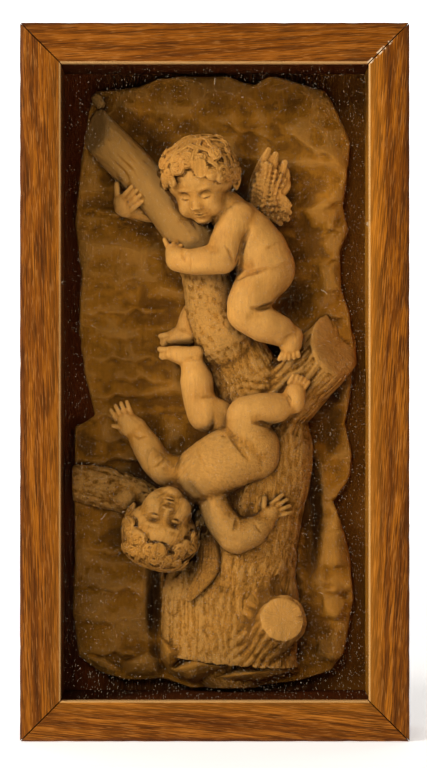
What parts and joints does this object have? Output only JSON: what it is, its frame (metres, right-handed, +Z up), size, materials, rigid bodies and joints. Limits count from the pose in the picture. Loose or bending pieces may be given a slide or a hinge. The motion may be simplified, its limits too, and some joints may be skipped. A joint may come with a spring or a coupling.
{
  "type": "shadow box carving",
  "caption": "Glazed oak shadow box holding a carved wood relief of two winged children climbing and tumbling on a sawn tree trunk.",
  "frame": {"origin": "middle of the underside, on the surface that the box stands on", "axes": "+Z up the box, -Y towards the glazed front, +X to the right as seen from the front"},
  "size_m": [0.206, 0.075, 0.38],
  "materials": {
    "oak": "satin",
    "clear_glass": "polished",
    "dark_liner": "matte",
    "dark_backing": "matte",
    "carved_wood": "satin"
  },
  "bodies": {
    "root": {"left_rail": "oak", "right_rail": "oak", "top_rail": "oak", "bottom_rail": "oak", "glass_pane": "clear_glass", "left_liner": "dark_liner", "right_liner": "dark_liner", "top_liner": "dark_liner", "bottom_liner": "dark_liner", "back_board": "dark_backing", "carving": "carved_wood"}
  },
  "joints": []
}
